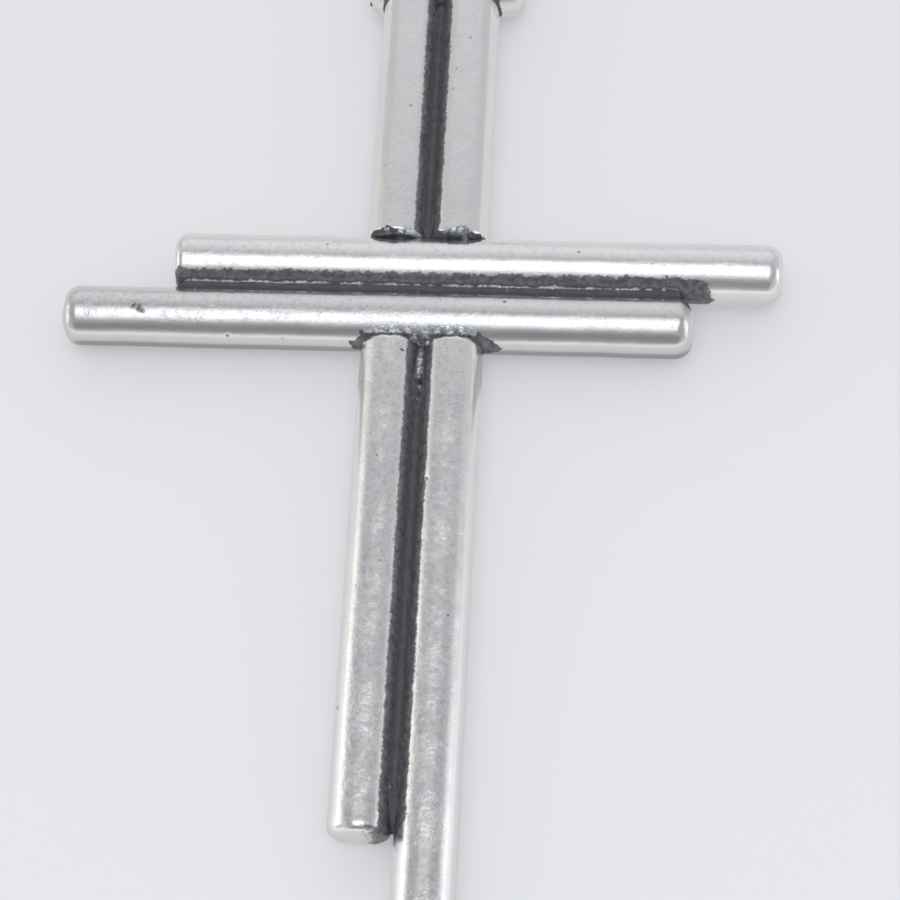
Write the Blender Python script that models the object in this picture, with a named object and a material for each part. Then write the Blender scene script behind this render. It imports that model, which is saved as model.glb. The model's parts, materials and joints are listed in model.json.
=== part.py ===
"""A cross pendant made of solid round rods that are soldered side by side.

Two crossbars lie one above the other, two short stem rods rise from them to a
drilled bail, and two long stem rods hang below them. It hangs upright: +Z is up
the stem, the front faces -Y, and the origin is in the bail's bore, on the line
between the stem rods.
"""

import math

import bmesh
import bpy
from mathutils import Vector

# Driving dimensions, in metres
ROD_DIAMETER = 0.0038
SEAM_GAP = 0.00008  # between the two rods of a pair, filled with solder
CLEARANCE = 0.00002  # between any two pieces that meet

SEAM_DROP = 0.0232  # from the bail's bore down to the seam between the crossbars
UPPER_BAR_LEFT = -0.0159
UPPER_BAR_RIGHT = 0.0224
LOWER_BAR_LEFT = -0.0227
LOWER_BAR_RIGHT = 0.0168
SHORT_STEM_BELOW_SEAM = 0.03515
LONG_STEM_BELOW_SEAM = 0.042

BAIL_LENGTH = 0.0104
BAIL_OFFSET = 0.0003
BAIL_BORE = 0.0016

FREE_END_ROUND = 0.001
JOINT_END_ROUND = 0.0004
BAIL_END_ROUND = 0.0009

# Where the stem rods end, as parts of a rod's radius from the axis that they meet
UPPER_STEM_FOOT = 0.83
UPPER_STEM_HEAD = 0.66
LOWER_STEM_HEAD = 0.83

# Solder
POOL_HALF_WIDTH = 2.1  # of a rod's radius
POOL_HALF_DEPTH = 0.93
POOL_CORNER = 0.0003
POOL_START = 0.45  # from the axis that the pool lies against
POOL_HEIGHT = 0.85
SEAM_HALF_WIDTH = 0.0005
SEAM_HALF_DEPTH = 0.45
SEAM_SETBACK = 0.0002  # between a seam's end and the pool beside it
SEAM_END_INSET = 0.0013  # from a bar's end to the end of the seam beside it

ROD_SIDES = 32
ROUND_SEGMENTS = 4
BORE_SIDES = 24

SILVER = {"color": (0.84, 0.83, 0.81, 1.0), "roughness": 0.22, "metallic": 1.0}
OXIDE = {"color": (0.07, 0.07, 0.08, 1.0), "roughness": 0.55, "metallic": 0.7}

# Worked out from the driving dimensions
RADIUS = ROD_DIAMETER / 2
HALF_PITCH = RADIUS + SEAM_GAP / 2
SEAM_Z = -SEAM_DROP
UPPER_BAR_Z = SEAM_Z + HALF_PITCH
LOWER_BAR_Z = SEAM_Z - HALF_PITCH
SIDES = {"left": -1, "right": 1}
LOWER_STEM_ENDS = {
    "left": SEAM_Z - SHORT_STEM_BELOW_SEAM,
    "right": SEAM_Z - LONG_STEM_BELOW_SEAM,
}
ALONG_X = (0.0, math.pi / 2, 0.0)


def clear_scene():
    for old in list(bpy.data.objects):
        bpy.data.objects.remove(old)


def finish_material(name, finish):
    material = bpy.data.materials.new(name + "_finish")
    material.use_nodes = True
    shader = material.node_tree.nodes["Principled BSDF"]
    shader.inputs["Base Color"].default_value = finish["color"]
    shader.inputs["Roughness"].default_value = finish["roughness"]
    shader.inputs["Metallic"].default_value = finish["metallic"]
    return material


def new_object(name, mesh_maker, parent, location, rotation=(0.0, 0.0, 0.0)):
    """An object whose mesh the given function fills in, in the object's own axes."""
    mesh = bpy.data.meshes.new(name)
    shape = bmesh.new()
    mesh_maker(shape)
    bmesh.ops.recalc_face_normals(shape, faces=shape.faces[:])
    shape.to_mesh(mesh)
    shape.free()
    item = bpy.data.objects.new(name, mesh)
    bpy.context.scene.collection.objects.link(item)
    item.parent = parent
    item.location = location
    item.rotation_euler = rotation
    return item


def round_end(shape, end_z, amount):
    """Rounds the edge loop of a cylinder's end cap at the local height end_z."""
    loop = [
        edge
        for edge in shape.edges
        if all(abs(corner.co.z - end_z) < 1e-7 for corner in edge.verts)
    ]
    bmesh.ops.bevel(
        shape,
        geom=loop,
        offset=amount,
        segments=ROUND_SEGMENTS,
        profile=0.5,
        affect="EDGES",
        offset_type="OFFSET",
    )


def rod_mesh(radius, length, low_round, high_round):
    """Fills in a solid cylinder along local Z with rounded end edges."""

    def make(shape):
        bmesh.ops.create_cone(
            shape,
            cap_ends=True,
            segments=ROD_SIDES,
            radius1=radius,
            radius2=radius,
            depth=length,
        )
        round_end(shape, -length / 2, low_round)
        round_end(shape, length / 2, high_round)

    return make


def block_mesh(size, corner):
    """Fills in a block whose four edges along local Z are rounded."""

    def make(shape):
        bmesh.ops.create_cube(shape, size=1.0)
        bmesh.ops.scale(shape, vec=size, verts=shape.verts[:])
        if corner > 0:
            upright = [
                edge
                for edge in shape.edges
                if abs(edge.verts[0].co.z - edge.verts[1].co.z) > size.z / 2
            ]
            bmesh.ops.bevel(
                shape,
                geom=upright,
                offset=corner,
                segments=2,
                profile=0.5,
                affect="EDGES",
                offset_type="OFFSET",
            )

    return make


def shade_round(item):
    item.data.shade_smooth()
    item.data.set_sharp_from_angle(angle=math.radians(30))


def hide_cutter(item):
    item.hide_render = True
    item.display_type = "WIRE"
    return item


def cut(item, cutter):
    modifier = item.modifiers.new("cut_" + cutter.name, "BOOLEAN")
    modifier.operation = "DIFFERENCE"
    modifier.solver = "EXACT"
    modifier.object = cutter


def rod_with_clearance(name, span, cross, along_x, rounds, parent):
    """A rod and its cutter, which is the same rod grown by the clearance.

    span is the rod's two ends along its axis, and cross is its other coordinate.
    """
    middle = (span[0] + span[1]) / 2
    place = Vector((middle, 0, cross)) if along_x else Vector((cross, 0, middle))
    turn = ALONG_X if along_x else (0.0, 0.0, 0.0)
    length = span[1] - span[0]
    rod = new_object(name, rod_mesh(RADIUS, length, *rounds), parent, place, turn)
    shade_round(rod)
    rod.data.materials.append(finish_material(name, SILVER))
    grown = [amount + CLEARANCE for amount in rounds]
    grown_mesh = rod_mesh(RADIUS + CLEARANCE, length + 2 * CLEARANCE, *grown)
    cutter = new_object(name + "_cutter", grown_mesh, parent, place, turn)
    return rod, hide_cutter(cutter)


def crossbars(parent):
    free = (FREE_END_ROUND, FREE_END_ROUND)
    upper = rod_with_clearance(
        "upper_crossbar",
        (UPPER_BAR_LEFT, UPPER_BAR_RIGHT),
        UPPER_BAR_Z,
        True,
        free,
        parent,
    )
    lower = rod_with_clearance(
        "lower_crossbar",
        (LOWER_BAR_LEFT, LOWER_BAR_RIGHT),
        LOWER_BAR_Z,
        True,
        free,
        parent,
    )
    return {"upper": upper[1], "lower": lower[1]}


def bail_tube(parent):
    """The fixed bail: a short rod across the stem's head, drilled from end to end."""
    span = (BAIL_OFFSET - BAIL_LENGTH / 2, BAIL_OFFSET + BAIL_LENGTH / 2)
    rounds = (BAIL_END_ROUND, BAIL_END_ROUND)
    tube, cutter = rod_with_clearance("bail_tube", span, 0.0, True, rounds, parent)

    def bore_mesh(shape):
        bmesh.ops.create_cone(
            shape,
            cap_ends=True,
            segments=BORE_SIDES,
            radius1=BAIL_BORE / 2,
            radius2=BAIL_BORE / 2,
            depth=BAIL_LENGTH * 1.2,
        )

    bore = new_object("bail_bore_cutter", bore_mesh, parent, tube.location, ALONG_X)
    cut(tube, hide_cutter(bore))
    return cutter


def upper_stem(parent, bar_cutter, bail_cutter):
    """Two short rods between the upper crossbar and the bail, coped round both."""
    span = (UPPER_BAR_Z + UPPER_STEM_FOOT * RADIUS, -UPPER_STEM_HEAD * RADIUS)
    cutters = []
    for side, sign in SIDES.items():
        rod, cutter = rod_with_clearance(
            "upper_stem_" + side,
            span,
            sign * HALF_PITCH,
            False,
            (JOINT_END_ROUND, JOINT_END_ROUND),
            parent,
        )
        cut(rod, bar_cutter)
        cut(rod, bail_cutter)
        cutters.append(cutter)
    return cutters


def lower_stem(parent, bar_cutter):
    """Two long rods below the lower crossbar, coped round it at their heads."""
    cutters = []
    for side, sign in SIDES.items():
        rod, cutter = rod_with_clearance(
            "lower_stem_" + side,
            (LOWER_STEM_ENDS[side], LOWER_BAR_Z - LOWER_STEM_HEAD * RADIUS),
            sign * HALF_PITCH,
            False,
            (FREE_END_ROUND, JOINT_END_ROUND),
            parent,
        )
        cut(rod, bar_cutter)
        cutters.append(cutter)
    return cutters


def solder(name, low, high, corner, cutters, parent):
    """A block between two corners, less everything that it flowed against."""
    size, place = high - low, (low + high) / 2
    piece = new_object(name, block_mesh(size, corner), parent, place)
    piece.data.materials.append(finish_material(name, OXIDE))
    for cutter in cutters:
        cut(piece, cutter)


def solder_pools(parent, bars, bail_cutter, upper_cutters, lower_cutters):
    """The pool at each joint, and how far along the stem each one reaches."""
    reach = POOL_HALF_WIDTH * RADIUS
    depth = POOL_HALF_DEPTH * RADIUS
    start, height = POOL_START * RADIUS, POOL_HEIGHT * RADIUS
    above_bar = UPPER_BAR_Z + start
    below_bar = LOWER_BAR_Z - start
    pools = {
        "upper_joint_solder": (above_bar, above_bar + height, bars["upper"], upper_cutters),
        "lower_joint_solder": (below_bar - height, below_bar, bars["lower"], lower_cutters),
        "bail_joint_solder": (-start - height, -start, bail_cutter, upper_cutters),
    }
    for name, (low_z, high_z, crossing, stems) in pools.items():
        low, high = Vector((-reach, -depth, low_z)), Vector((reach, depth, high_z))
        solder(name, low, high, POOL_CORNER, [crossing, *stems], parent)
    return {name: (pool[0], pool[1]) for name, pool in pools.items()}


def solder_seams(parent, bars, upper_cutters, lower_cutters, pools):
    """The solder in the grooves of each pair of rods, front and back as one run."""
    wide, deep = SEAM_HALF_WIDTH, SEAM_HALF_DEPTH * RADIUS
    solder(
        "crossbar_seam_solder",
        Vector((UPPER_BAR_LEFT + SEAM_END_INSET, -deep, SEAM_Z - wide)),
        Vector((LOWER_BAR_RIGHT - SEAM_END_INSET, deep, SEAM_Z + wide)),
        0.0,
        bars.values(),
        parent,
    )
    upper_low = pools["upper_joint_solder"][1] + SEAM_SETBACK
    upper_high = pools["bail_joint_solder"][0] - SEAM_SETBACK
    lower_low = LOWER_STEM_ENDS["left"] + SEAM_END_INSET
    lower_high = pools["lower_joint_solder"][0] - SEAM_SETBACK
    runs = {
        "upper_stem_seam_solder": (upper_low, upper_high, upper_cutters),
        "lower_stem_seam_solder": (lower_low, lower_high, lower_cutters),
    }
    for name, (low_z, high_z, stems) in runs.items():
        low, high = Vector((-wide, -deep, low_z)), Vector((wide, deep, high_z))
        solder(name, low, high, 0.0, stems, parent)


def main():
    clear_scene()
    pendant = bpy.data.objects.new("cross_pendant", None)
    bpy.context.scene.collection.objects.link(pendant)
    bars = crossbars(pendant)
    bail_cutter = bail_tube(pendant)
    upper_cutters = upper_stem(pendant, bars["upper"], bail_cutter)
    lower_cutters = lower_stem(pendant, bars["lower"])
    pools = solder_pools(pendant, bars, bail_cutter, upper_cutters, lower_cutters)
    solder_seams(pendant, bars, upper_cutters, lower_cutters, pools)


main()
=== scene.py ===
import json
import math

import bpy
import numpy as np
from mathutils import Matrix, Vector

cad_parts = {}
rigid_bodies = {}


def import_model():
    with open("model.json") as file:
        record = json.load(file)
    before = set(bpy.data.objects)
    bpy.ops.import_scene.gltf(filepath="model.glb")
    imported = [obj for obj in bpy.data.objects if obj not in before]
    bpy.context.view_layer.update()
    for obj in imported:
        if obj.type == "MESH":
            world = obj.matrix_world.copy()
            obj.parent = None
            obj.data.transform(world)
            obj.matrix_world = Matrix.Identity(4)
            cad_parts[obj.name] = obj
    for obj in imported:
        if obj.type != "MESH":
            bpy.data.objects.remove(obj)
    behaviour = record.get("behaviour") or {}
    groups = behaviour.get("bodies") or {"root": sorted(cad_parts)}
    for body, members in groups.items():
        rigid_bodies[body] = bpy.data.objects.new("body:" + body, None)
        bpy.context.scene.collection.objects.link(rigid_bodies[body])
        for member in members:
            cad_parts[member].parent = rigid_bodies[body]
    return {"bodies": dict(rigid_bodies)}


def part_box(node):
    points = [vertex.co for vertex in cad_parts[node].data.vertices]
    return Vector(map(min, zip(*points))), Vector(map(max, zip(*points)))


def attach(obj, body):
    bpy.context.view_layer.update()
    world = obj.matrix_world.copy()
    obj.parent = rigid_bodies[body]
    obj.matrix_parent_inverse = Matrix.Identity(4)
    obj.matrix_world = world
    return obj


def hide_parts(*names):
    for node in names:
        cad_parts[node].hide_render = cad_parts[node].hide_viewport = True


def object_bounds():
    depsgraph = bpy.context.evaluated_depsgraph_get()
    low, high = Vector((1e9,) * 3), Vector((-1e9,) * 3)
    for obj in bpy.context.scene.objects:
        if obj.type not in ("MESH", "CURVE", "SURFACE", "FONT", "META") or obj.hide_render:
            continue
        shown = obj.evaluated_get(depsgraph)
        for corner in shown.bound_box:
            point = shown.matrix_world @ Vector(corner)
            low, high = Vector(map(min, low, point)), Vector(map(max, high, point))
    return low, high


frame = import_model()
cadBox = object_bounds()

mm = 0.001
right, back, up = np.eye(3)


# A node's lowest and highest corners, as arrays.
def span(node):
    low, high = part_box(node)
    return np.array(low), np.array(high)


upperLow, upperHigh = span("upper_crossbar")
lowerLow, lowerHigh = span("lower_crossbar")
bailLow, bailHigh = span("bail_tube")
shortLow = span("lower_stem_left")[0]
longLow, longHigh = span("lower_stem_right")
headHigh = span("upper_stem_left")[1]

rodRadius = (upperHigh[2] - upperLow[2]) / 2
upperBarZ = (upperHigh[2] + upperLow[2]) / 2
lowerBarZ = (lowerHigh[2] + lowerLow[2]) / 2
seamZ = float(upperLow[2] + lowerHigh[2]) / 2
bailZ = (bailHigh[2] + bailLow[2]) / 2
stemX = (longLow[0] + longHigh[0]) / 2
bodyName = list(frame["bodies"])[0]
print("frame read, rod diameter", round(2 * rodRadius / mm, 2), "mm")


waveSpread = (0.6, 1.5)  # the least and most turns that a wave of the noise makes over its size


# Smooth noise of about unit strength: the sum of cosine waves that run in random directions, divided by the root of
# half their number.
def ripple(points, size, seed, waves=28):
    dice = np.random.default_rng(seed)
    ways = dice.normal(size=(waves, 3))
    turnsPerMetre = dice.uniform(*waveSpread, (waves, 1)) * 2 * math.pi / size
    ways *= turnsPerMetre / np.linalg.norm(ways, axis=1, keepdims=True)
    starts = dice.uniform(0, 2 * math.pi, waves)
    total = np.cos(points.reshape(-1, 3) @ ways.T + starts).sum(axis=1) / math.sqrt(waves / 2)
    return total.reshape(points.shape[:-1])


# Three t squared less two t cubed, where t goes from 0 at low to 1 at high. It falls where high is below low.
def easeStep(low, high, value):
    t = np.clip((value - low) / (high - low), 0, 1)
    return t * t * (3 - 2 * t)


# Quads between neighbouring rows, wrapped round the columns. A loop also joins its last row to its first.
def gridFaces(rows, columns, loop):
    row, column = np.meshgrid(np.arange(rows if loop else rows - 1), np.arange(columns), indexing="ij")
    here, beyond = row * columns, (row + 1) % rows * columns
    after = (column + 1) % columns
    return np.stack([here + column, here + after, beyond + after, beyond + column], axis=-1).reshape(-1, 4)


# A closed skin from a grid of points whose columns wrap round. With poles, the first and last rows close on their
# middle points; without, the last row joins the first.
def makePiece(name, points, attributes, material, node, poles=True):
    rows, columns = points.shape[:2]
    vertices = points.reshape(-1, 3)
    faces = gridFaces(rows, columns, not poles).tolist()
    values = {key: field.reshape(-1) for key, field in attributes.items()}
    if poles:
        vertices = np.concatenate([vertices, points[:1].mean(axis=1), points[-1:].mean(axis=1)])
        around = np.arange(columns)
        after = (around + 1) % columns
        end = (rows - 1) * columns
        faces += np.stack([after, around, np.full(columns, rows * columns)], axis=1).tolist()
        faces += np.stack([end + around, end + after, np.full(columns, rows * columns + 1)], axis=1).tolist()
        for key, field in values.items():
            values[key] = np.append(field, [field[:columns].mean(), field[-columns:].mean()])
    mesh = bpy.data.meshes.new(name)
    mesh.from_pydata(vertices.tolist(), [], faces)
    for key, field in values.items():
        mesh.attributes.new(key, "FLOAT", "POINT").data.foreach_set("value", field.astype(np.float32))
    mesh.polygons.foreach_set("use_smooth", np.ones(len(faces), dtype=bool))
    mesh.update()
    piece = bpy.data.objects.new(name, mesh)
    bpy.context.scene.collection.objects.link(piece)
    mesh.materials.append(material)
    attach(piece, bodyName)
    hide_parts(node)


# A socket that takes part in plain arithmetic.
class Wire:
    def __init__(self, graph, socket):
        self.graph = graph
        self.socket = socket

    def math(self, operation, *others):
        return self.graph.node("ShaderNodeMath", {"operation": operation}, dict(enumerate((self, *others))))

    def __add__(self, other):
        return self.math("ADD", other)

    __radd__ = __add__

    def __mul__(self, other):
        return self.math("MULTIPLY", other)

    __rmul__ = __mul__

    def __sub__(self, other):
        return self.math("SUBTRACT", other)

    def __rsub__(self, other):
        return self.graph.node("ShaderNodeMath", {"operation": "SUBTRACT"}, {0: other, 1: self})

    def __truediv__(self, other):
        return self.math("DIVIDE", other)

    def __abs__(self):
        return self.math("ABSOLUTE")

    def most(self, other):
        return self.math("MAXIMUM", other)

    def least(self, other):
        return self.math("MINIMUM", other)


# The nodes of one material or world. node() makes any of them: its settings come first, then the values or links of
# its sockets. It gives one output, or several where output is a list.
class Graph:
    def __init__(self, tree):
        self.tree = tree
        tree.nodes.clear()

    def node(self, kind, settings=None, sockets=None, output=0):
        made = self.tree.nodes.new(kind)
        for key, value in (settings or {}).items():
            if key == "stops":
                self.setStops(made.color_ramp, value)
            else:
                setattr(made, key, value)
        for key, value in (sockets or {}).items():
            if isinstance(value, Wire):
                self.tree.links.new(value.socket, made.inputs[key])
            else:
                made.inputs[key].default_value = value
        if isinstance(output, list):
            return [Wire(self, made.outputs[key]) for key in output]
        return Wire(self, made.outputs[output]) if len(made.outputs) else None

    def setStops(self, ramp, stops):
        while len(ramp.elements) > 1:
            ramp.elements.remove(ramp.elements[-1])
        for index, (place, color) in enumerate(stops):
            element = ramp.elements[0] if index == 0 else ramp.elements.new(place)
            element.position = place
            element.color = color

    # The same smooth step as easeStep.
    def ease(self, low, high, value):
        sockets = {"Value": value, "From Min": low, "From Max": high}
        return self.node("ShaderNodeMapRange", {"interpolation_type": "SMOOTHSTEP"}, sockets)

    def mixColor(self, factor, first, second):
        sockets = {0: factor, 6: first, 7: second}  # 6 and 7 are the node's two colours, and output 2 their mix
        return self.node("ShaderNodeMix", {"data_type": "RGBA"}, sockets, output=2)

    def mixShader(self, factor, first, second):
        return self.node("ShaderNodeMixShader", None, {0: factor, 1: first, 2: second})

    def noise(self, place, scale, detail, roughness):
        sockets = {"Vector": place, "Scale": scale, "Detail": detail, "Roughness": roughness}
        return self.node("ShaderNodeTexNoise", None, sockets)

    def attribute(self, name):
        return self.node("ShaderNodeAttribute", {"attribute_name": name}, output="Fac")

    def objectPlace(self):
        return self.node("ShaderNodeTexCoord", output="Object")

    # A metal's surface, with its height in millimetres.
    def metal(self, color, roughness, metallic, height):
        bump = self.node("ShaderNodeBump", None, {"Strength": 1.0, "Distance": mm, "Height": height})
        sockets = {"Base Color": color, "Roughness": roughness, "Metallic": metallic, "Normal": bump}
        self.finish(self.node("ShaderNodeBsdfPrincipled", None, sockets))

    def finish(self, shader, kind="ShaderNodeOutputMaterial"):
        self.node(kind, None, {"Surface": shader})


def newMaterial(name):
    material = bpy.data.materials.new(name)
    material.use_nodes = True
    return material, Graph(material.node_tree)


silverLook = {
    "bright": (0.92, 0.912, 0.905, 1),
    "cool": (0.86, 0.885, 0.93, 1),
    "blush": (0.94, 0.9, 0.9, 1),
    "dull": (0.6, 0.61, 0.63, 1),
    "oxide": (0.24, 0.24, 0.258, 1),
    "oxideDeep": (0.13, 0.13, 0.142, 1),
    "roughness": 0.2,
    "oxideRoughness": 0.42,
    "oxideMetallicLoss": 0.35,
    "tooth": 0.07,  # half the width of the black's edge, in mm
    "edge": {"fine": 0.32, "medium": 0.12},  # how far the noises move that edge, in mm
    # the noises: waves per metre, detail and roughness
    "noise": {
        "fine": (5200, 3, 0.6),
        "medium": (1700, 2, 0.5),
        "mottle": (900, 3, 0.55),
        "cloud": (330, 2, 0.5),
        "grain": (3900, 3, 0.65),
        "scratches": (9000, 2, 0.65),
        "nick": (4300, 2, 0.5),
        "dull": (2700, 3, 0.65),
        "speck": (7000, 1, 0.5),
        "tint": (420, 2, 0.5),
        "blush": (260, 2, 0.5),
        "oxide": (2600, 3, 0.5),
    },
    # where a mark starts to show in its noise, and where it shows in full
    "fade": {
        "rubbed": (-0.12, 0.16),
        "fleck": (0.12, 0.22),
        "nick": (0.17, 0.27),
        "dull": (0.5, 0.61),
        "speck": (0.68, 0.76),
        "tint": (0.35, 0.7),
        "blush": (0.55, 0.75),
        "oxide": (0.3, 0.7),
    },
    "strength": {"tint": 0.6, "blush": 0.35, "speck": 0.3, "dull": 0.42, "nick": 0.36},
    "roughen": {"scratches": 0.16, "cloud": 0.1, "fleck": 0.3, "rubbed": 0.05},
    "raise": {"scratches": 0.0007, "mottle": 0.0026, "fine": 0.001, "grain": 0.021, "nick": 0.0022},  # mm
    "flatGrain": 0.12,  # how much of the grain shows where nothing is rubbed
    "fleckSpread": 0.3,  # how far the medium noise gathers the flecks
    "oxideGrit": 1.5,  # how much rougher the fine noise stands in the black
}


# Polished silver that turns black where the crevice attribute, in millimetres, is above zero, and is dulled, nicked
# and grainy by the wear attribute. along gives the direction of the drawing scratches, lightness multiplies the
# metal's colour and grit its grain. A lightness below one is painted shade.
def silverMaterial(name, along, lightness, grit):
    material, g = newMaterial(name)
    place = g.objectPlace()
    fade, strength = silverLook["fade"], silverLook["strength"]
    edge, roughen, lift = silverLook["edge"], silverLook["roughen"], silverLook["raise"]

    def noise(key, at=place):
        return g.noise(at, *silverLook["noise"][key])

    fine, medium, mottle, cloud, grain = [noise(key) - 0.5 for key in ("fine", "medium", "mottle", "cloud", "grain")]
    stretched = g.node("ShaderNodeMapping", None, {"Vector": place, "Scale": along})
    scratches = noise("scratches", stretched) - 0.5
    blackEdge = g.attribute("crevice") + (fine * edge["fine"] + medium * edge["medium"])
    dark = g.ease(-silverLook["tooth"], silverLook["tooth"], blackEdge)
    wear = g.attribute("wear")
    rubbed = wear * g.ease(*fade["rubbed"], medium + cloud)
    fleck = rubbed * g.ease(*fade["fleck"], grain + medium * silverLook["fleckSpread"])
    nick = wear * g.ease(*fade["nick"], noise("nick") - 0.5)
    dull = wear * g.ease(*fade["dull"], noise("dull"))
    speck, tint, blush, deep = [g.ease(*fade[key], noise(key)) for key in ("speck", "tint", "blush", "oxide")]
    shades = [tuple(part * lightness for part in silverLook[key][:3]) + (1,) for key in ("bright", "cool")]
    silver = g.mixColor(tint * strength["tint"], *shades)
    silver = g.mixColor(blush * strength["blush"], silver, silverLook["blush"])
    oxide = g.mixColor(deep, silverLook["oxideDeep"], silverLook["oxide"])
    oxide = g.mixColor(speck * strength["speck"], oxide, silverLook["bright"])
    silver = g.mixColor(dull * strength["dull"], silver, silverLook["dull"])
    silver = g.mixColor(nick * strength["nick"], silver, oxide)
    roughness = silverLook["roughness"] + scratches * roughen["scratches"] + cloud * roughen["cloud"]
    roughness = roughness + fleck * roughen["fleck"] + rubbed * roughen["rubbed"]
    roughness = roughness * (1 - dark) + dark * silverLook["oxideRoughness"]
    height = scratches * lift["scratches"] + mottle * lift["mottle"]
    height = height + fine * lift["fine"] * (1 + dark * silverLook["oxideGrit"])
    height = height + grain * (rubbed + silverLook["flatGrain"]) * (lift["grain"] * grit) - nick * lift["nick"]
    g.metal(g.mixColor(dark, silver, oxide), roughness, 1 - dark * silverLook["oxideMetallicLoss"], height)
    return material


solderLook = {
    "soot": (0.1, 0.1, 0.11, 1),
    "slate": (0.36, 0.385, 0.44, 1),
    "bright": silverLook["cool"],
    "grain": (3600, 3, 0.6),  # waves per metre, detail and roughness
    "crumb": (9000, 2, 0.6),
    "worn": (-0.3, 0.6),  # where the slate grey starts to show, and where it shows in full
    "wornGrain": 1.5,
    "glint": (0.54, 0.66),  # where a glint starts to show, and where it shows in full
    "glintFrom": {"crumb": 0.55, "grain": 0.45, "shine": 0.12},
    "roughness": (0.62, 0.34),  # in the soot, and how much less in a glint
    "metallic": (0.35, 0.65),  # in the soot, and how much more in a glint
    "raise": {"grain": 0.0045, "crumb": 0.003},  # mm
}


# Blackened solder that the shine attribute rubs to a slate grey, with glints on its highest grains.
def solderMaterial(name):
    look = solderLook
    material, g = newMaterial(name)
    place = g.objectPlace()
    shine = g.attribute("shine")
    grain, crumb = g.noise(place, *look["grain"]), g.noise(place, *look["crumb"])
    worn = g.ease(*look["worn"], shine + (grain - 0.5) * look["wornGrain"])
    share = look["glintFrom"]
    peaks = crumb * share["crumb"] + grain * share["grain"] + shine * share["shine"]
    glint = worn * g.ease(*look["glint"], peaks)
    color = g.mixColor(glint, g.mixColor(worn, look["soot"], look["slate"]), look["bright"])
    roughness = look["roughness"][0] - glint * look["roughness"][1]
    metallic = look["metallic"][0] + glint * look["metallic"][1]
    g.metal(color, roughness, metallic, grain * look["raise"]["grain"] + crumb * glint * look["raise"]["crumb"])
    return material


acrossSilver = silverMaterial("silver_bars", (0.08, 1, 1), 1.0, 1.5)
# The lower crossbar's silver is made darker, lightness 0.87: painted shade, as if less light fell on that bar.
shadedLowerBarSilver = silverMaterial("silver_lower_bar_painted_shade", (0.08, 1, 1), 0.87, 1.35)
uprightSilver = silverMaterial("silver_stems", (1, 1, 0.08), 1.0, 2.1)
darkSolder = solderMaterial("oxidised_solder")
print("finishes made")


rodShape = {
    "cell": 0.085 * mm,  # between rings
    "around": 132,
    "endRings": 7,
    "roundRings": 11,
    "innerRing": 0.04,  # the innermost ring, as a part of the flat end's radius
    "setIn": 0.014 * mm,  # how far the skin lies inside the solid
    "wobble": ((6 * mm, 0.008 * mm), (1.7 * mm, 0.0024 * mm)),  # sizes and heights
    "endRipple": 0.02 * mm,
    "endRippleSize": 1.1 * mm,
    "pitDepth": 0.22,  # as a part of the pit's width
    "pitDark": 0.8,  # how far from its middle a pit is black, as a part of its width
    "raggedness": {"x": 0.034, "z": 0.014},
    "raggedSizes": (0.95 * mm, 0.37 * mm),
    "raggedFine": 0.9,
}
crown = (0.72, 0.97)  # the depths, as parts of the radius, between which a rod's front and back start to show wear

darkness = {
    # 1 is the upper crossbar and -1 the lower one
    "seam": {1: 0.82 * mm, -1: 0.3 * mm},  # how far the black reaches from the seam
    "seamRunOut": 0.05 * mm,  # how far it stays as wide past the other bar's end
    "seamTaper": 0.75,
    "bars": {1: 0.02 * mm, -1: 0.18 * mm},  # how far it reaches from the stem rods' ends
    "barsHalf": 1.93,  # half the width of that, in rod radii
    "barsTaper": 1.5,
    "stems": 0.18 * mm,
    "groove": 0.8 * mm,
    "grooveNarrow": (0.75 * mm, 1.1 * mm),  # how far below and above the short rod's end it narrows
    "grooveEnd": (0.6 * mm, 0.1 * mm),  # how far below that end it stops, and the width of its stop
    "bail": 0.1 * mm,
}

# The two stains under the lower crossbar, each a triangle on the bar's skin beside the stem rods.
stain = {
    "start": 1.95,  # in rod radii from the middle
    "inward": 0.3,  # how far it runs in under the stem rods, as a part of its length
    "long": {"left": 0.95 * mm, "right": 1.5 * mm},
    "high": {"left": 0.85, "right": 1.05},  # mm
    "degrees": 13,
    "ripple": 0.07 * mm,
    "rippleSize": 0.6 * mm,
}

# The faint smear on the left stem rod, above its lower end.
smear = {"from": 1.3 * mm, "slope": 0.16, "top": 0.35 * mm}


# Axial place, radius and outward direction of each ring: a flat end, a quarter circle, the straight side, a quarter
# circle and a flat end. The last value is the part of the normal that lies along the rod.
def rodProfile(length, lowRound, highRound):
    def end(amount):
        flat = np.linspace(rodShape["innerRing"], 1, rodShape["endRings"], endpoint=False) * (rodRadius - amount)
        turn = np.linspace(0, math.pi / 2, rodShape["roundRings"])
        place = np.concatenate([np.zeros_like(flat), amount * (1 - np.cos(turn))])
        radius = np.concatenate([flat, rodRadius - amount + amount * np.sin(turn)])
        outward = np.concatenate([np.zeros_like(flat), np.sin(turn)])
        return place, radius, outward

    lowPlace, lowRadius, lowOut = end(lowRound)
    highPlace, highRadius, highOut = end(highRound)
    count = int((length - lowRound - highRound) / rodShape["cell"])
    side = np.linspace(lowRound, length - highRound, count)[1:-1]
    place = np.concatenate([lowPlace, side, (length - highPlace)[::-1]])
    radius = np.concatenate([lowRadius, np.full(len(side), rodRadius), highRadius[::-1]])
    outward = np.concatenate([lowOut, np.ones(len(side)), highOut[::-1]])
    forward = np.concatenate([-np.sqrt(1 - lowOut**2), np.zeros(len(side)), np.sqrt(1 - highOut[::-1] ** 2)])
    return place, radius, outward, forward


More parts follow.
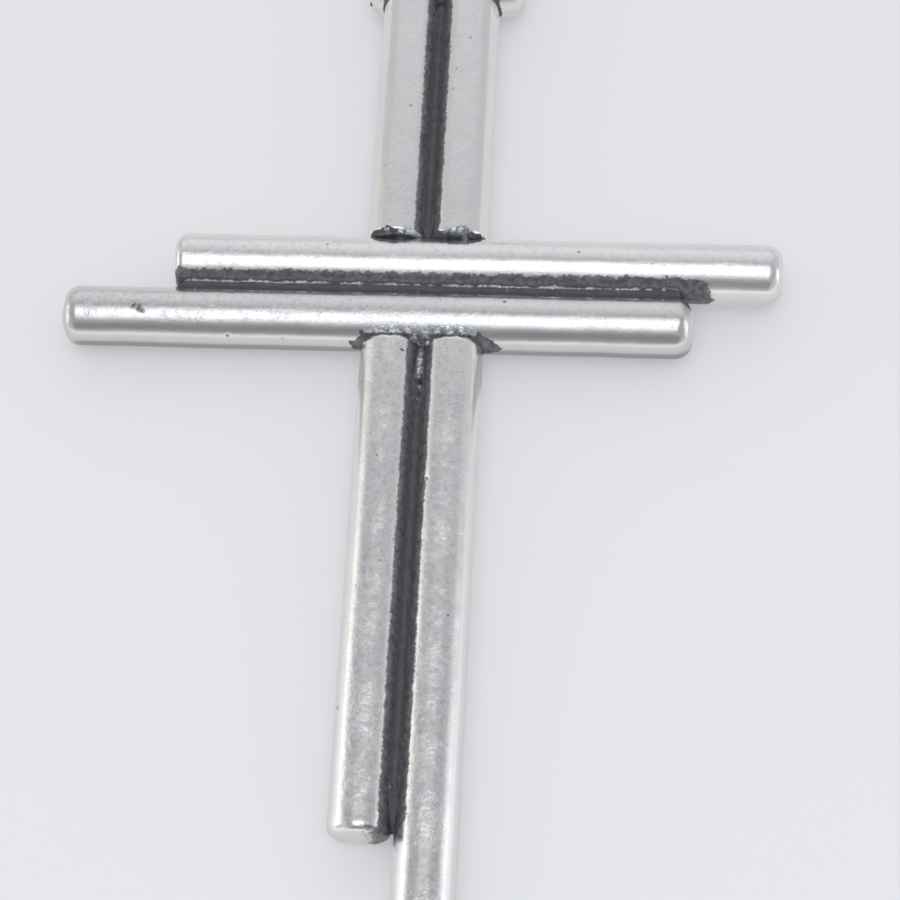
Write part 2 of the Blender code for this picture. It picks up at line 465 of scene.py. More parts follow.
# Circles of the profile's radius carried along X or Z. Each point then moves inward along its normal, by a gentle
# wobble, by the ripple of the flat ends and by a bell curve for each pit. It gives the moved and the true points.
def rodPoints(spec):
    place, radius, outward, forward = rodProfile(spec["to"] - spec["from"], *spec["rounds"])
    angle = np.linspace(0, 2 * math.pi, rodShape["around"], endpoint=False)
    axis, side, hand = (right, up, -1) if spec["along"] == "x" else (up, right, 1)
    spoke = (hand * np.sin(angle))[:, None] * side - np.cos(angle)[:, None] * back
    start = spec["from"] * axis + spec["cross"] * side
    points = start + place[:, None, None] * axis + radius[:, None, None] * spoke
    normals = outward[:, None, None] * spoke + forward[:, None, None] * axis
    depth = np.full(points.shape[:2], -rodShape["setIn"])
    for index, (size, strength) in enumerate(rodShape["wobble"]):
        depth += strength * ripple(points, size, spec["seed"] + index)
    for pit in spec["pits"]:
        gap = np.linalg.norm(points - pit["at"], axis=-1)
        depth -= pit["deep"] * np.exp(-((gap / pit["wide"]) ** 2))
    endRipple = 1 + ripple(points, rodShape["endRippleSize"], spec["seed"] + 5)
    depth = np.minimum(depth - rodShape["endRipple"] * np.abs(forward[:, None]) * endRipple, 0)
    return points + normals * depth[..., None], points


# One where a rod's front or back faces straight out, easing to zero towards its flanks.
def crownWear(points):
    return easeStep(*crown, np.abs(points[..., 1]) / rodRadius)


# A rod's skin. Its crevice is the distance, in mm, inside the edge of the black, made ragged by two ripples; its wear
# is the crown's, times an amount that changes evenly from one end to the other.
def makeRod(spec):
    points, ideal = rodPoints(spec)
    coarse, fine = [ripple(ideal, size, spec["seed"] + 9 + i) for i, size in enumerate(rodShape["raggedSizes"])]
    ragged = rodShape["raggedness"][spec["along"]] * (coarse + rodShape["raggedFine"] * fine)
    crevice = spec["crevice"](ideal) / mm + ragged
    for pit in spec["pits"]:
        gap = np.linalg.norm(ideal - pit["at"], axis=-1)
        crevice = np.maximum(crevice, pit["wide"] * rodShape["pitDark"] / mm - gap / mm)
    along = (ideal[..., 0 if spec["along"] == "x" else 2] - spec["from"]) / (spec["to"] - spec["from"])
    start, end = spec["worn"]
    wear = (start + (end - start) * along) * crownWear(ideal)
    fields = {"crevice": np.clip(crevice, -1, 1), "wear": wear}
    makePiece(spec["node"] + "_silver", points, fields, spec["silver"], spec["node"])


# Black beside the seam between the bars, as far as the other bar reaches, and beside the stem rods' ends. Each is a
# width less the distance, and the largest one counts. The lower bar, sign -1, has the two stains as well.
def barCrevice(sign, reach, stemEnd):
    def field(p):
        x, y, z = p[..., 0], p[..., 1], p[..., 2]
        beyond = np.maximum(reach[0] - x, x - reach[1])
        runOut = np.maximum(beyond - darkness["seamRunOut"], 0) * darkness["seamTaper"]
        seam = darkness["seam"][sign] - np.hypot(z - seamZ, runOut)
        away = np.maximum(np.abs(x) - darkness["barsHalf"] * rodRadius, 0) * darkness["barsTaper"]
        joint = darkness["bars"][sign] - np.hypot(np.minimum(sign * (z - stemEnd), 0), away)
        black = np.maximum(seam, joint)
        return black if sign > 0 else np.maximum(black, stainField(x, y, z, p))

    return field


# A triangle: its half height falls evenly from the stem rods outward, less the distance round the bar's skin from its
# middle line, with a ripple.
def stainField(x, y, z, p):
    long, high = [np.where(x > 0, stain[key]["right"], stain[key]["left"]) for key in ("long", "high")]
    past = (np.abs(x) - stain["start"] * rodRadius) / long
    around = rodRadius * (np.arctan2(-y, seamZ - rodRadius - z) - math.radians(stain["degrees"]))
    wedge = high * mm * (1 - past) - np.abs(around) + stain["ripple"] * ripple(p, stain["rippleSize"], 3)
    return np.where((past < 1) & (past > -stain["inward"]), wedge, -1)


# Black in the groove between the stem rods, a width less the distance from the middle, and beside their joint at
# joint. Towards low, the end of the shorter rod, the groove narrows on the right and a smear leads into it on the
# left.
def stemCrevice(low, joint):
    def field(p):
        x, z = p[..., 0], p[..., 2]
        below, above = darkness["grooveNarrow"]
        narrow = darkness["groove"] * easeStep(low - below, low + above, z)
        groove = np.where(x > 0, narrow, darkness["groove"]) - np.abs(x)
        under, edge = darkness["grooveEnd"]
        groove = np.minimum(groove, edge - (low - under - z))
        patch = np.minimum((x + smear["from"]) * smear["slope"], smear["top"] - (z - low))
        groove = np.maximum(groove, np.where(x < 0, patch, -9))
        return np.maximum(groove, darkness["stems"] - np.abs(z - joint))

    return field


# Small pits: a place along the rod, an angle in degrees from the front toward up or right, and a width, in mm.
# Heights count from the seam between the bars.
pitMarks = {
    "lowerBar": [
        (-18.1, -5, 0.17),
        (-17.9, -1, 0.14),
        (-17.7, -5, 0.17),
        (-17.75, -11, 0.17),
        (-17.5, -15, 0.16),
        (-12.13, -61, 0.13),
        (5.1, 24, 0.13),
        (1.15, 24, 0.08),
        (-8.7, -64, 0.07),
    ],
    "lowerLeft": [(-27.6, -62, 0.13), (-6.6, -58, 0.12), (-18.7, 12, 0.08), (-11.9, -8, 0.07)],
    "lowerRight": [(-13.2, -33, 0.12), (-22.0, 22, 0.08), (-16.8, 40, 0.07), (-8.4, 5, 0.07)],
    "upperRight": [(14.2, -24, 0.09), (15.7, -20, 0.08), (18.0, 5, 0.07)],
    "upperLeft": [(12.8, 14, 0.08), (8.5, -30, 0.08)],
    "upperBar": [(-6.2, 20, 0.08), (9.6, 12, 0.09), (14.2, -8, 0.07)],
}


# A pit's middle, on the rod's skin, with its width and depth.
def pitAt(spec, along, degrees, wide):
    turn = math.radians(degrees)
    across, depth = spec["cross"] + rodRadius * math.sin(turn), -rodRadius * math.cos(turn)
    at = (along * mm, depth, across) if spec["along"] == "x" else (across, depth, seamZ + along * mm)
    return {"at": np.array(at), "wide": wide * mm, "deep": wide * rodShape["pitDepth"] * mm}


footZ, headZ = upperBarZ + 0.83 * rodRadius, bailZ - 0.66 * rodRadius  # the upper stem rods' ends
neckZ = lowerBarZ - 0.83 * rodRadius  # the lower stem rods' upper ends
lowerSeamEnd = lowerHigh[0] - 1.1 * mm
freeRound, jointRound = 1.0 * mm, 0.4 * mm
bars = {"along": "x", "rounds": (freeRound, freeRound), "silver": acrossSilver}
stems = {"along": "z", "silver": uprightSilver}
upperStems = stems | {
    "from": footZ,
    "to": headZ,
    "rounds": (jointRound, jointRound),
    "worn": (0.35, 0.3),
    "crevice": stemCrevice(footZ, footZ),
}
lowerStems = stems | {"to": neckZ, "worn": (1.1, 0.9), "crevice": stemCrevice(shortLow[2], neckZ)}
rods = {
    "upperBar": bars
    | {
        "node": "upper_crossbar",
        "from": upperLow[0],
        "to": upperHigh[0],
        "cross": upperBarZ,
        "rounds": (0.6 * mm, freeRound),
        "worn": (0.7, 0.45),
        "crevice": barCrevice(1, (lowerLow[0], lowerHigh[0]), footZ),
        "seed": 11,
    },
    "lowerBar": bars
    | {
        "node": "lower_crossbar",
        "from": lowerLow[0],
        "to": lowerHigh[0],
        "cross": lowerBarZ,
        "silver": shadedLowerBarSilver,
        "worn": (1.4, 0.6),
        "crevice": barCrevice(-1, (upperLow[0], lowerSeamEnd), neckZ),
        "seed": 21,
    },
    "lowerLeft": lowerStems
    | {"node": "lower_stem_left", "from": shortLow[2], "cross": -stemX, "rounds": (0.58 * mm, jointRound), "seed": 31},
    "lowerRight": lowerStems
    | {"node": "lower_stem_right", "from": longLow[2], "cross": stemX, "rounds": (freeRound, jointRound), "seed": 33},
    "upperLeft": upperStems | {"node": "upper_stem_left", "cross": -stemX, "seed": 41},
    "upperRight": upperStems | {"node": "upper_stem_right", "cross": stemX, "seed": 43},
}
for key, spec in rods.items():
    spec["pits"] = [pitAt(spec, *mark) for mark in pitMarks[key]]
    makeRod(spec)
print("rods made")


bail = {
    "along": "x",
    "from": bailLow[0],
    "to": bailHigh[0],
    "cross": bailZ,
    "rounds": (0.9 * mm, 0.9 * mm),
    "bore": 0.8 * mm,
    "lip": 0.2 * mm,
    "around": 132,
    "cell": 0.08 * mm,
    "turnRings": 14,
    "dent": (0.012 * mm, 0.006 * mm, 3 * mm),  # its mean depth, how much that changes, and the size of the changes
    "dentFrom": 1.2,  # in bore radii
    "boreDark": (1.25, 1.05, 0.6),  # where the black starts and is full, in bore radii, and how much there is
    "raggedness": (0.04, 1.2 * mm),
    "seed": 61,
}


# A profile carried round the X axis: along the outside, over the rounded end, into the bore and back through it. It
# is black in the bore and by the stem rods' heads.
def makeBail():
    turn = np.linspace(0, math.pi / 2, bail["turnRings"])
    rounding, bore, lip = bail["rounds"][1], bail["bore"], bail["lip"]
    halfLength = (bail["to"] - bail["from"]) / 2
    outside = halfLength - rounding
    inside = halfLength - lip
    outerX = np.linspace(-outside, outside, int(2 * halfLength / bail["cell"]))
    innerX = np.linspace(inside, -inside, int(halfLength / bail["cell"]))
    endX = outside + rounding * np.sin(turn[1:])
    endR = rodRadius - rounding + rounding * np.cos(turn[1:])
    lipX = halfLength - lip * (1 - np.cos(turn[1:-1]))
    lipR = bore + lip - lip * np.sin(turn[1:-1])
    along = np.concatenate([outerX, endX, lipX, innerX, -lipX[::-1], -endX[::-1]])
    outerR, innerR = np.full(len(outerX), rodRadius), np.full(len(innerX), bore)
    radius = np.concatenate([outerR, endR, lipR, innerR, lipR[::-1], endR[::-1]])
    angle = np.linspace(0, 2 * math.pi, bail["around"], endpoint=False)
    spoke = -np.cos(angle)[:, None] * back - np.sin(angle)[:, None] * up
    middle = np.array([(bail["from"] + bail["to"]) / 2, 0, bailZ])
    points = middle + along[:, None, None] * right + radius[:, None, None] * spoke
    depth, change, size = bail["dent"]
    dent = np.maximum(depth + change * ripple(points, size, bail["seed"]), 0)
    dented = (radius > bore * bail["dentFrom"]).astype(float)[:, None, None]
    points = points - spoke * dent[..., None] * dented
    away = np.maximum(np.abs(points[..., 0]) - 2 * rodRadius, 0)
    joint = darkness["bail"] - np.hypot(np.maximum(points[..., 2] - headHigh[2], 0), away)
    start, full, amount = bail["boreDark"]
    crevice = joint / mm + amount * easeStep(bore * start, bore * full, radius)[:, None]
    ragged, size = bail["raggedness"]
    crevice = np.clip(crevice + ragged * ripple(points, size, bail["seed"] + 1), -1, 1)
    fields = {"crevice": crevice, "wear": crownWear(points)}
    makePiece("bail_silver", points, fields, acrossSilver, "bail_tube", poles=False)


makeBail()
print("bail made")


# Signed distance to a rod with rounded ends: the corner distance of a cylinder shrunk by the rounding, less the
# rounding.
def rodGap(p, rod):
    if rod["along"] == "x":
        along, side = p[..., 0], p[..., 2] - rod["cross"]
    else:
        along, side = p[..., 2], p[..., 0] - rod["cross"]
    turn = rod["rounds"][1]
    half = (rod["to"] - rod["from"]) / 2
    out = np.hypot(side, p[..., 1]) - (rodRadius - turn)
    end = np.abs(along - rod["from"] - half) - (half - turn)
    return np.hypot(np.maximum(out, 0), np.maximum(end, 0)) + np.minimum(np.maximum(out, end), 0) - turn


# The smaller distance, lowered by up to a quarter of blend where the two are alike.
def softUnion(first, second, blend):
    near = np.maximum(blend - np.abs(first - second), 0) / blend
    return np.minimum(first, second) - near * near * blend / 4


# Distance from the middle of a bead, given in mm from the middle of the seam between the bars.
def beadGap(p, bead):
    return np.linalg.norm(p - (np.array(bead[:3]) * mm + np.array([0, 0, seamZ])), axis=-1)


solderSkin = {
    "lumpReach": 0.8,  # in rod radii from the axis, where the lumps are looked up
    "depth": 0.997 * rodRadius,  # the skin stays this near to the cross's middle plane
    "halvings": 17,
    "squareness": 3,  # of the tube that bounds the skin: 2 is an ellipse
    "fineLump": (2.3, 0.5),  # how much smaller the finer lumps are, and how high
    "lumpRise": 0.55,
    "lumpShine": 0.2,
    "beadBlend": 0.12 * mm,
    "beadShine": (1.6, 1.25, 0.95),  # its strength, and where it starts and is full, in bead radii
}


# The skin of the solder in a crease. From an axis through the crease, each point is found by halving the distance
# along a ray until it meets the soft union of the rods and beads, less a hair, raised where the solder lies thick.
def makeSolder(spec):
    turns = np.linspace(-1, 1, spec["rows"] + 2)[1:-1]
    u = np.sin(turns * math.pi / 2)
    half = (spec["to"] - spec["from"]) / 2
    angle = np.linspace(0, 2 * math.pi, spec["around"], endpoint=False)
    sideWay, depthWay = np.cos(angle), np.sin(angle)
    axis, side, hand = (right, up, -1) if spec["along"] == "x" else (up, right, 1)
    centre = (spec["from"] + half + half * u)[:, None, None] * axis + spec["cross"] * side
    way = sideWay[:, None] * side + (hand * depthWay)[:, None] * back
    power = solderSkin["squareness"]
    more, less, deep = spec["reach"]
    reach = (np.abs(sideWay) / np.where(sideWay > 0, more, less)) ** power + (np.abs(depthWay) / deep) ** power
    reach = reach ** (-1 / power) * (1 - u[:, None] ** spec["blunt"]) ** 0.5
    nominal = centre + way * np.minimum(reach, rodRadius * solderSkin["lumpReach"])[..., None]
    size, lumpHeight = spec["lumps"]
    finer, amount = solderSkin["fineLump"]
    lump = ripple(nominal, size, spec["seed"]) + amount * ripple(nominal, size / finer, spec["seed"] + 1)
    low, high = np.zeros_like(reach), reach
    for halving in range(solderSkin["halvings"]):
        middle = (low + high) / 2
        p = centre + way * middle[..., None]
        gap = rodGap(p, spec["rods"][0])
        for rod in spec["rods"][1:]:
            gap = softUnion(gap, rodGap(p, rod), spec["blend"](p))
        for bead in spec["beads"]:
            gap = softUnion(gap, beadGap(p, bead) - bead[3] * mm, solderSkin["beadBlend"])
        rise = spec["rise"](p) * (1 + solderSkin["lumpRise"] * lump)
        inside = gap + spec["hair"] - rise - lumpHeight * lump < 0
        low, high = np.where(inside, middle, low), np.where(inside, high, middle)
    points = centre + way * low[..., None]
    points[..., 1] = np.clip(points[..., 1], -solderSkin["depth"], solderSkin["depth"])
    shine = spec["shine"](points) + solderSkin["lumpShine"] * lump
    strength, start, full = solderSkin["beadShine"]
    for bead in spec["beads"]:
        shine += strength * easeStep(bead[3] * start, bead[3] * full, beadGap(points, bead) / mm)
    fields = {"shine": np.clip(shine, -1, 1)}
    makePiece(spec["name"], points, fields, darkSolder, spec["node"])


# The same number everywhere.
def even(value):
    return lambda p: np.full(p.shape[:-1], value)


# One between low and high along Z, easing to zero over edge.
def heightWindow(p, low, high, edge):
    z = p[..., 2]
    return easeStep(low - edge, low + edge, z) * easeStep(high + edge, high - edge, z)


cornerHalf = (1.5, 2.1)  # where a pair's outer corners start and are reached, in rod radii from the middle


# One blend between the rods of a pair, easing to another at its left and right corners.
def cornerBlend(between, atLeft, atRight):
    def field(p):
        x = p[..., 0]
        corner = easeStep(cornerHalf[0] * rodRadius, cornerHalf[1] * rodRadius, np.abs(x))
        return between + np.where(x > 0, atRight - between, atLeft - between) * corner

    return field


lowerSpread = {
    "thick": 0.055 * mm,
    "half": 1.85,  # half its width, in rod radii
    "heights": (-0.9, -0.52),  # in rod radii from the middle of the bar
    "ripple": (0.2 * mm, 1.5 * mm),  # how far its outer edge wanders, and the size of that
    "soft": (0.4 * mm, 0.1 * mm),  # how soft the edge is sideways and upwards
}


# A thin spread of solder on the lower crossbar's flank, above the stem rods: one thickness inside a rippled edge.
def lowerFilm(p):
    wander, size = lowerSpread["ripple"]
    aside, upward = lowerSpread["soft"]
    edge = lowerSpread["half"] * rodRadius + wander * ripple(p, size, 5, 8)
    wide = easeStep(edge + aside, edge - aside, np.abs(p[..., 0]))
    low, high = [lowerBarZ + place * rodRadius for place in lowerSpread["heights"]]
    return lowerSpread["thick"] * wide * heightWindow(p, low, high, upward)


upperSpread = {
    "thick": 0.05 * mm,
    "half": (2, 1.7),  # where it ends and where it is full, in rod radii
    "start": (0.03 * mm, 0.16 * mm),  # above the stem rods' feet
    "ripple": (0.11 * mm, 1.3 * mm),  # how far its top wanders, and the size of that
    "soft": 0.08 * mm,
}


# Solder that has run a little way up the stem rods' feet: one thickness below a rippled top.
def upperFilm(p):
    outer, inner = upperSpread["half"]
    wide = easeStep(outer * rodRadius, inner * rodRadius, np.abs(p[..., 0]))
    wander, size = upperSpread["ripple"]
    top = upperBarZ + rodRadius + wander * ripple(p * right, size, 17, 10)
    start, full = upperSpread["start"]
    rising = easeStep(footZ + start, footZ + full, p[..., 2])
    soft = upperSpread["soft"]
    return upperSpread["thick"] * wide * rising * easeStep(top + soft, top - soft, p[..., 2])


# Where the solder is rubbed, -1 is soot and 1 is bright. Places are in rod radii, each pair from where a rubbed part
# starts to where it is full.
rubbing = {
    "soot": -0.75,
    "film": (-0.75, -0.3),
    "filmSoft": 0.12 * mm,
    "filmShine": (1.3, 0.6),  # everywhere, and how much more over the rods
    "filmOuter": (0.5, 0.9),
    "filmInner": (2.0, 1.7),
    "crease": (0.55, 0.2),
    "creaseShine": 0.95,
    "onRight": ((0.3, 0.8), (1.6, 1.3)),
    "onRightShine": 0.8,
    "onLeft": ((-1.05, -0.9), (-0.1, -0.3)),
    "onLeftShine": 1.25,
}


# A smooth step between two places given in rod radii.
def easeRadii(places, value):
    return easeStep(places[0] * rodRadius, places[1] * rodRadius, value)


# Rubbed bright on the film, most of all over the two rods, and less in the middle of the crease.
def lowerShine(p):
    x = np.abs(p[..., 0])
    low, high = [lowerBarZ + place * rodRadius for place in rubbing["film"]]
    film = heightWindow(p, low, high, rubbing["filmSoft"])
    everywhere, more = rubbing["filmShine"]
    crease = rubbing["creaseShine"] * easeRadii(rubbing["crease"], x)
    shine = (everywhere + more * easeRadii(rubbing["filmOuter"], x)) * film + crease * (1 - film)
    return rubbing["soot"] + shine * easeRadii(rubbing["filmInner"], x)


# Rubbed in two places, in front of the left rod and, less, in front of the right one.
def upperShine(p):
    onRight, onLeft = [
        easeRadii(rubbing[key][0], p[..., 0]) * easeRadii(rubbing[key][1], p[..., 0]) for key in ("onRight", "onLeft")
    ]
    return rubbing["soot"] + np.maximum(rubbing["onRightShine"] * onRight, rubbing["onLeftShine"] * onLeft)


drip = {
    "top": 1.1,  # below the middle of the bar, in rod radii
    "long": 2.1,  # in rod radii
    "starts": (-0.1, 0.05),  # as parts of its length
    "fades": (1.15, 0.3),
    "thick": 0.16 * mm,
    "half": 0.3 * mm,
    "soot": -0.8,
    "shine": 7,  # for each mm of its thickness
}


# A run of solder in the groove just below the crossbars: a bell curve across, easing out downwards.
def dripRise(p):
    down = (lowerBarZ - drip["top"] * rodRadius - p[..., 2]) / (drip["long"] * rodRadius)
    along = easeStep(*drip["starts"], down) * easeStep(*drip["fades"], down)
    return drip["thick"] * along * np.exp(-((p[..., 0] / drip["half"]) ** 2))


# Rubbed brighter where the run is thicker.
def dripShine(p):
    return drip["soot"] + drip["shine"] * dripRise(p) / mm


ridgeLine = {
    "above": 0.27 * mm,  # the middle of the seam
    "wander": 0.02 * mm,
    "wanderSize": 2.5 * mm,
    "half": 0.055 * mm,
    "soot": -0.7,
    "shine": 1.5,
}


# The solder between the crossbars is rubbed bright along a thin line, a bell curve about a height with a ripple.
def seamShine(p):
    ridge = seamZ + ridgeLine["above"] + ridgeLine["wander"] * ripple(p, ridgeLine["wanderSize"], 7, 8)
    return ridgeLine["soot"] + ridgeLine["shine"] * np.exp(-(((p[..., 2] - ridge) / ridgeLine["half"]) ** 2))


# reach gives how far a skin may go up or right of its axis, down or left of it, and forward; lumps their size and
# height; beads their places from the seam between the bars and their radii, in mm.
poolHalf = 2.95 * rodRadius
pool = {"along": "x", "lumps": (0.45 * mm, 0.004 * mm), "rows": 190, "blunt": 6, "beads": []}
seam = {
    "along": "z",
    "cross": 0,
    "reach": (0.75 * mm, 0.75 * mm, 1.3 * mm),
    "around": 96,
    "hair": 0.03 * mm,
    "lumps": (0.6 * mm, 0.008 * mm),
    "blend": even(0.9 * mm),
    "rise": even(0),
    "blunt": 6,
    "beads": [],
}
solders = [
    pool
    | {
        "name": "lower_joint_solder_skin",
        "node": "lower_joint_solder",
        "from": -poolHalf,
        "to": poolHalf,
        "cross": lowerBarZ - 0.9 * rodRadius,
        "reach": (0.9 * rodRadius, 0.75 * rodRadius, 1.05 * rodRadius),
        "rows": 210,
        "around": 260,
        "rods": (rods["lowerBar"], rods["lowerLeft"], rods["lowerRight"]),
        "blend": cornerBlend(0.32 * mm, 0.12 * mm, 0.22 * mm),
        "hair": 0.035 * mm,
        "lumps": (0.42 * mm, 0.004 * mm),
        "rise": lowerFilm,
        "shine": lowerShine,
        "beads": [
            (0.1, -1.0, -4.25, 0.2),
            (-0.12, -0.95, -4.55, 0.15),
            (-3.5, -1.0, -3.95, 0.17),
            (0.35, -1.2, -3.9, 0.2),
            (-0.3, -1.3, -3.75, 0.18),
        ],
        "seed": 71,
    },
    pool
    | {
        "name": "upper_joint_solder_skin",
        "node": "upper_joint_solder",
        "from": -poolHalf * 0.86,
        "to": poolHalf * 0.86,
        "cross": upperBarZ + 0.9 * rodRadius,
        "reach": (0.75 * rodRadius, 0.9 * rodRadius, 1.05 * rodRadius),
        "around": 260,
        "rods": (rods["upperBar"], rods["upperLeft"], rods["upperRight"]),
        "blend": cornerBlend(0.09 * mm, 0.09 * mm, 0.09 * mm),
        "hair": 0.05 * mm,
        "rise": upperFilm,
        "shine": upperShine,
        "beads": [
            (1.7, -1.74, 3.82, 0.17),
            (2.1, -1.74, 3.8, 0.16),
            (2.5, -1.7, 3.78, 0.13),
            (-1.2, -1.62, 3.7, 0.2),
            (-0.8, -1.4, 3.75, 0.18),
        ],
        "seed": 81,
    },
    pool
    | {
        "name": "bail_joint_solder_skin",
        "node": "bail_joint_solder",
        "from": -poolHalf * 0.9,
        "to": poolHalf * 0.9,
        "cross": bailZ - 0.82 * rodRadius,
        "reach": (0.6 * rodRadius, 0.75 * rodRadius, 1.05 * rodRadius),
        "around": 240,
        "rods": (bail, rods["upperLeft"], rods["upperRight"]),
        "blend": cornerBlend(0.26 * mm, 0.34 * mm, 0.4 * mm),
        "hair": 0.055 * mm,
        "rise": even(0),
        "shine": even(-0.7),
        "seed": 91,
    },
    seam
    | {
        "name": "lower_stem_seam_skin",
        "node": "lower_stem_seam_solder",
        "from": shortLow[2] + 0.35 * mm,
        "to": lowerBarZ - 0.7 * rodRadius,
        "rods": (rods["lowerLeft"], rods["lowerRight"]),
        "rows": 420,
        "rise": dripRise,
        "shine": dripShine,
        "seed": 101,
    },
    seam
    | {
        "name": "upper_stem_seam_skin",
        "node": "upper_stem_seam_solder",
        "from": upperBarZ + 0.7 * rodRadius,
        "to": bailZ - 0.75 * rodRadius,
        "rods": (rods["upperLeft"], rods["upperRight"]),
        "rows": 260,
        "shine": even(-0.8),
        "seed": 111,
    },
    seam
    | {
        "name": "crossbar_seam_skin",
        "node": "crossbar_seam_solder",
        "along": "x",
        "from": upperLow[0] + 0.04 * mm,
        "to": lowerHigh[0] - 0.7 * mm,
        "cross": seamZ,
        "rods": (rods["upperBar"], rods["lowerBar"]),
        "rows": 460,
        "blend": even(0.92 * mm),
        "shine": seamShine,
        "blunt": 60,
        "seed": 121,
    },
]
for spec in solders:
    makeSolder(spec)
print("solder made")


studio = {
    # brightness by elevation in degrees
    "sky": (
        (-90, 0.5),
        (-75, 0.3),
        (-60, 0.26),
        (-48, 0.36),
        (-38, 0.6),
        (-28, 1.25),
        (-12, 1.7),
        (0, 1.4),
        (9, 0.9),
        (15, 0.5),
        (24, 0.48),
        (31, 0.64),
        (40, 0.68),
        (54, 0.78),
        (66, 0.8),
        (80, 0.72),
        (90, 0.68),
    ),
    "sideSky": 0.55,
    "sideBox": 0.8,
    "dimmed": 0.42,  # the most that the low sky gives between the front and the sides
    # where each part starts and is full: round from the front or the back, or up, in degrees
    "warmRound": (-40, -75),
    "skyRound": (45, 65),
    "boxRound": (53, 78),
    "boxFoot": (-32, -8),
    "boxTop": (15, 27),
    "boxLower": 4,  # how much lower the top is than that
    "warmHigher": 5.5,  # how much higher it is on the warm side
    "dimRound": (12, 27),
    "dimTop": (12, 26),
    "fill": 0.64,
    "most": 4,  # the brightest that the light can be
    "coolTint": (0.985, 0.995, 1.015),
    "warmTint": (1.03, 1.0, 0.96),
    "black": (0, 0, 0, 1),
    "white": (1, 1, 1, 1),
    "paleGlow": (0.765, 0.78, 0.81, 1),
}


# Brightness by direction: a bright band in front, a softbox on each side, grey between them. The back's half is the
# front's, turned over.
def studioWorld():
    world = bpy.data.worlds.new("studio")
    world.use_nodes = True
    bpy.context.scene.world = world
    g = Graph(world.node_tree)
    way = g.node("ShaderNodeTexCoord", output="Generated")
    x, y, z = g.node("ShaderNodeSeparateXYZ", None, {"Vector": way}, output=[0, 1, 2])
    elevation = z.math("ARCSINE") * (180 / math.pi)
    azimuth = x.math("ARCTAN2", y * -1) * (180 / math.pi)
    stops = [((e + 90) / 180, (v / 2, v / 2, v / 2, 1)) for e, v in studio["sky"]]  # halved, as a stop ends at one
    sky = g.node("ShaderNodeValToRGB", {"stops": stops}, {"Fac": elevation / 180 + 0.5}) * 2
    aside = abs(azimuth).least(180 - abs(azimuth))
    warm = g.ease(*studio["warmRound"], azimuth)
    low = 1 - g.ease(*studio["boxTop"], elevation + studio["boxLower"] - warm * studio["warmHigher"])
    sideBox = g.ease(*studio["boxRound"], aside) * low * g.ease(*studio["boxFoot"], elevation)
    sideSky = g.ease(*studio["skyRound"], aside)
    between = g.ease(*studio["dimRound"], aside) * (1 - g.ease(*studio["dimTop"], elevation))
    sky = sky * (1 - between) + sky.least(studio["dimmed"]) * between
    level = sky * (1 - sideSky) + sideSky * studio["sideSky"] + sideBox * studio["sideBox"]
    diffuse, seen = g.node("ShaderNodeLightPath", output=["Is Diffuse Ray", "Is Camera Ray"])
    level = level * (1 + diffuse * studio["fill"])
    most = studio["most"]
    tints = [tuple(part * most for part in studio[key]) + (1,) for key in ("coolTint", "warmTint")]
    light = g.mixColor(level / most, studio["black"], g.mixColor(warm, *tints))
    background = g.node("ShaderNodeBackground", None, {"Color": g.mixColor(seen, light, studio["paleGlow"])})
    g.finish(background, "ShaderNodeOutputWorld")


sheetLook = {
    # low and high: the sheet is lighter at the bottom than at the top, which is painted light.
    "low": (0.805, 0.815, 0.84, 1),
    "high": (0.76, 0.77, 0.79, 1),
    "half": 1.2,
    "gap": 0.02 * mm,  # behind the cross
    "glow": 0.35,  # how much of its light is its own
    # The sheet as the silver sees it, a painted reflection: how bright it is, how much painted light makes it lighter
    # far away and lower down, and how dark the lower crossbar's painted shadow is.
    "mirrored": 0.6,  # how bright it is in the silver
    "mirroredFar": 0.1,
    "mirroredBelow": 0.25,
    "barShadow": 0.26,
}
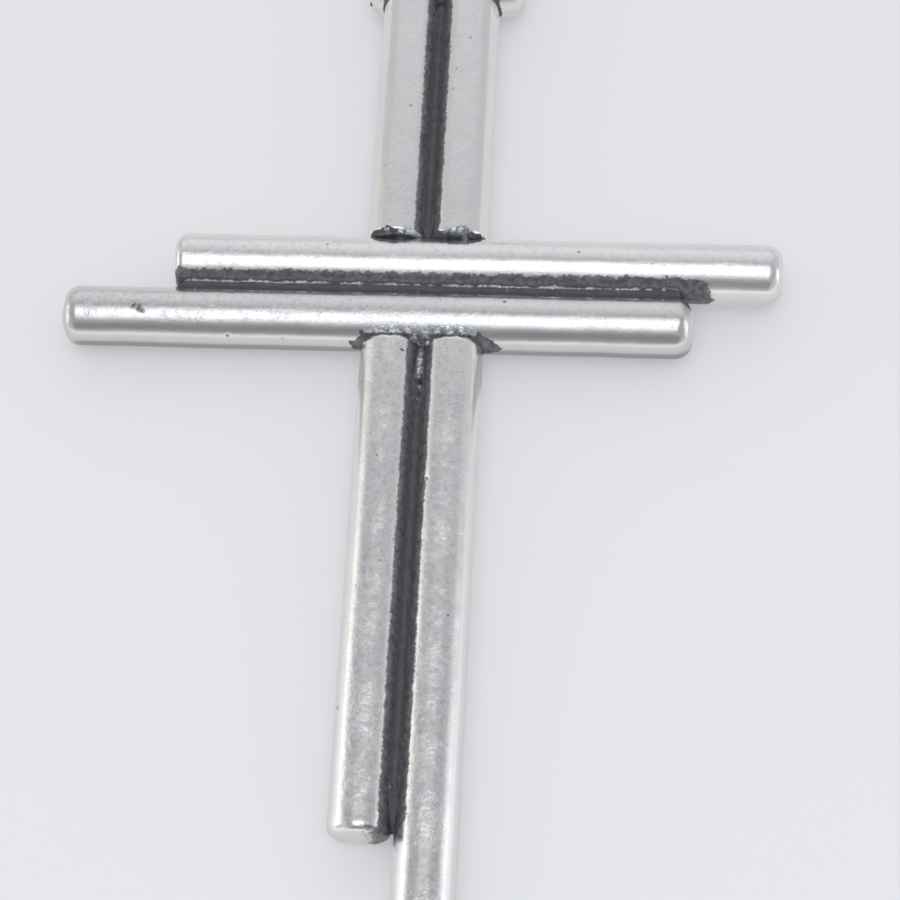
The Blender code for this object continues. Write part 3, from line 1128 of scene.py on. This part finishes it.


# A pale sheet right behind the cross, which is open from behind so that the cross's back stays in view. It is lighter
# towards the bottom, which is painted light. In the silver it shows as a painted reflection that glows, with the lower
# crossbar's painted shadow, and painted light makes it lighter further away and lower down.
def backdrop():
    material, g = newMaterial("backdrop")
    behind = g.node("ShaderNodeNewGeometry", output="Backfacing")
    names = ["Is Glossy Ray", "Ray Length", "Transparent Depth"]
    glossy, far, depth = g.node("ShaderNodeLightPath", output=names)
    x, z = g.node("ShaderNodeSeparateXYZ", None, {"Vector": g.objectPlace()}, output=[0, 2])
    # Lighter towards the bottom: painted light.
    height = g.ease(seamZ - 42 * mm, seamZ + 26 * mm, z)
    cloth = g.node("ShaderNodeBsdfDiffuse", None, {"Color": g.mixColor(height, sheetLook["low"], sheetLook["high"])})
    barLeft, barRight, barFoot = float(lowerLow[0]), float(lowerHigh[0]), float(lowerLow[2])
    # A painted shadow under the lower crossbar, seen only in the silver.
    shadow = g.ease(barFoot - 2.3 * mm, barFoot - 1.0 * mm, z) * (1 - g.ease(barFoot + 1.5 * mm, barFoot + 3 * mm, z))
    shadow = shadow * g.ease(barLeft - mm, barLeft + mm, x) * (1 - g.ease(barRight, barRight + 2 * mm, x))
    # Painted light: in the silver the sheet is lighter lower down and further away.
    below = 1 - g.ease(seamZ - 30 * mm, seamZ + 2 * mm, z)
    level = sheetLook["mirrored"] + g.ease(1.5 * mm, 4.5 * mm, far) * sheetLook["mirroredFar"]
    level = level - shadow * sheetLook["barShadow"]
    level = level + below * g.ease(4 * mm, 16 * mm, far) * sheetLook["mirroredBelow"]
    # The painted reflection: a glow that only glossy rays see.
    glow = g.node("ShaderNodeEmission", None, {"Color": g.mixColor(level, studio["black"], studio["white"])})
    lift = g.node("ShaderNodeEmission", None, {"Color": studio["paleGlow"]})
    front = g.mixShader(glossy, g.mixShader(sheetLook["glow"], cloth, lift), glow)
    clear = g.node("ShaderNodeBsdfTransparent")
    g.finish(g.mixShader(behind.most(g.ease(0.4, 0.6, depth)), front, clear))
    half = sheetLook["half"]
    y = float(cadBox[1][1]) + sheetLook["gap"]
    corners = [(-half, y, -half), (half, y, -half), (half, y, half), (-half, y, half)]
    mesh = bpy.data.meshes.new("backdrop")
    mesh.from_pydata(corners, [], [(0, 1, 2, 3)])
    mesh.materials.append(material)
    sheet = bpy.data.objects.new("backdrop", mesh)
    bpy.context.scene.collection.objects.link(sheet)


# The lens in mm, the place from the middle of the seam, and the turns in degrees.
cameraLook = {"lens": 98.9, "offset": (11.7 * mm, -138.2 * mm, -71.8 * mm), "tilt": 24.0, "swing": 2.72, "roll": 2.83}


# A camera that faces back, then rolled, swung and tilted about its own axes.
def camera():
    data = bpy.data.cameras.new("camera")
    data.lens = cameraLook["lens"]
    data.clip_start = 5 * mm
    item = bpy.data.objects.new("camera", data)
    bpy.context.scene.collection.objects.link(item)
    turns = [(90, "X"), (cameraLook["roll"], "Z"), (cameraLook["swing"], "Y"), (cameraLook["tilt"], "X")]
    turned = Matrix.Identity(4)
    for degrees, axis in turns:
        turned = turned @ Matrix.Rotation(math.radians(degrees), 4, axis)
    item.matrix_world = Matrix.Translation(Vector(cameraLook["offset"]) + Vector((0, 0, seamZ))) @ turned
    bpy.context.scene.camera = item


studioWorld()
backdrop()
camera()
bpy.context.scene.view_settings.view_transform = "Standard"
print("stage set")
